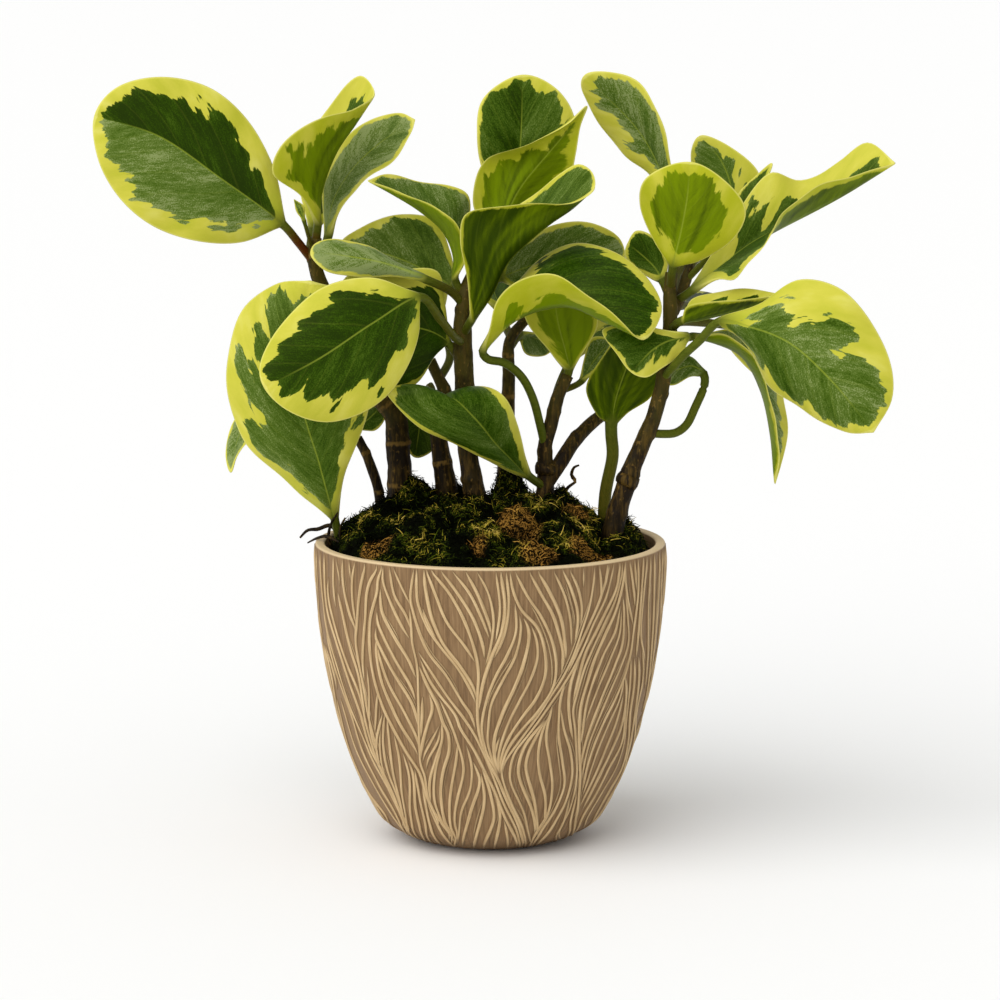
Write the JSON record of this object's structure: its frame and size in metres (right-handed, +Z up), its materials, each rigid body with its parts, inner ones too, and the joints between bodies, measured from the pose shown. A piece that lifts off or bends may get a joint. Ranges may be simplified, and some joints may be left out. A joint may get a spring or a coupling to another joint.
{
  "type": "potted peperomia plant",
  "caption": "Bushy variegated peperomia with thick rounded leaves on bare stems, growing from moss in a round tapered clay pot with raised flowing lines.",
  "frame": {"origin": "on the ground under the centre of the pot's base", "axes": "+Z up, the plant's front looks along -Y, +X to the right as seen from the front"},
  "size_m": [0.3164, 0.158, 0.3057],
  "materials": {
    "pot_clay": "satin, taupe ground with raised cream lines",
    "potting_soil": "crumbly, dark and matt",
    "moss": "fibrous and matt",
    "stem_bark": "fleshy green-brown stem, satin",
    "leaf_green": "thick waxy leaf, green with yellow margin"
  },
  "bodies": {
    "root": {"pot": "pot_clay", "soil": "potting_soil", "moss": "moss", "stem_left": "stem_bark", "stem_left_small": "stem_bark", "stem_middle_rear": "stem_bark", "stem_middle": "stem_bark", "stem_rear": "stem_bark", "stem_forked": "stem_bark", "stem_right": "stem_bark", "leaf_upper_left": "leaf_green", "leaf_left_folded": "leaf_green", "leaf_left_narrow": "leaf_green", "leaf_left_bud": "leaf_green", "leaf_left_small": "leaf_green", "leaf_left_rear": "leaf_green", "leaf_front_left": "leaf_green", "leaf_low_left": "leaf_green", "leaf_low_left_rear": "leaf_green", "leaf_front_low": "leaf_green", "leaf_left_shaded": "leaf_green", "leaf_top_rear": "leaf_green", "leaf_top_cupped": "leaf_green", "leaf_centre_folded": "leaf_green", "leaf_centre_left": "leaf_green", "leaf_centre_arching": "leaf_green", "leaf_centre_rear": "leaf_green", "leaf_right_inner": "leaf_green", "leaf_right_high": "leaf_green", "leaf_right_round": "leaf_green", "leaf_right_rear": "leaf_green", "leaf_right_young": "leaf_green", "leaf_right_long": "leaf_green", "leaf_right_level": "leaf_green", "leaf_right_big": "leaf_green", "leaf_right_hanging": "leaf_green", "leaf_right_low": "leaf_green", "leaf_right_dark": "leaf_green", "leaf_right_looped": "leaf_green", "leaf_centre_low": "leaf_green", "leaf_centre_far": "leaf_green", "leaf_centre_small": "leaf_green", "leaf_left_inner": "leaf_green", "leaf_left_drooping": "leaf_green", "leaf_back_left_high": "leaf_green", "leaf_back_left": "leaf_green", "leaf_back_left_low": "leaf_green", "leaf_back_middle_left": "leaf_green", "leaf_back_middle_high": "leaf_green", "leaf_back_centre": "leaf_green", "leaf_back_centre_left": "leaf_green", "leaf_back_centre_low": "leaf_green", "leaf_back_right_low": "leaf_green", "leaf_back_right_high": "leaf_green", "leaf_back_right": "leaf_green", "leaf_back_right_big": "leaf_green", "leaf_back_top": "leaf_green"}
  },
  "joints": []
}
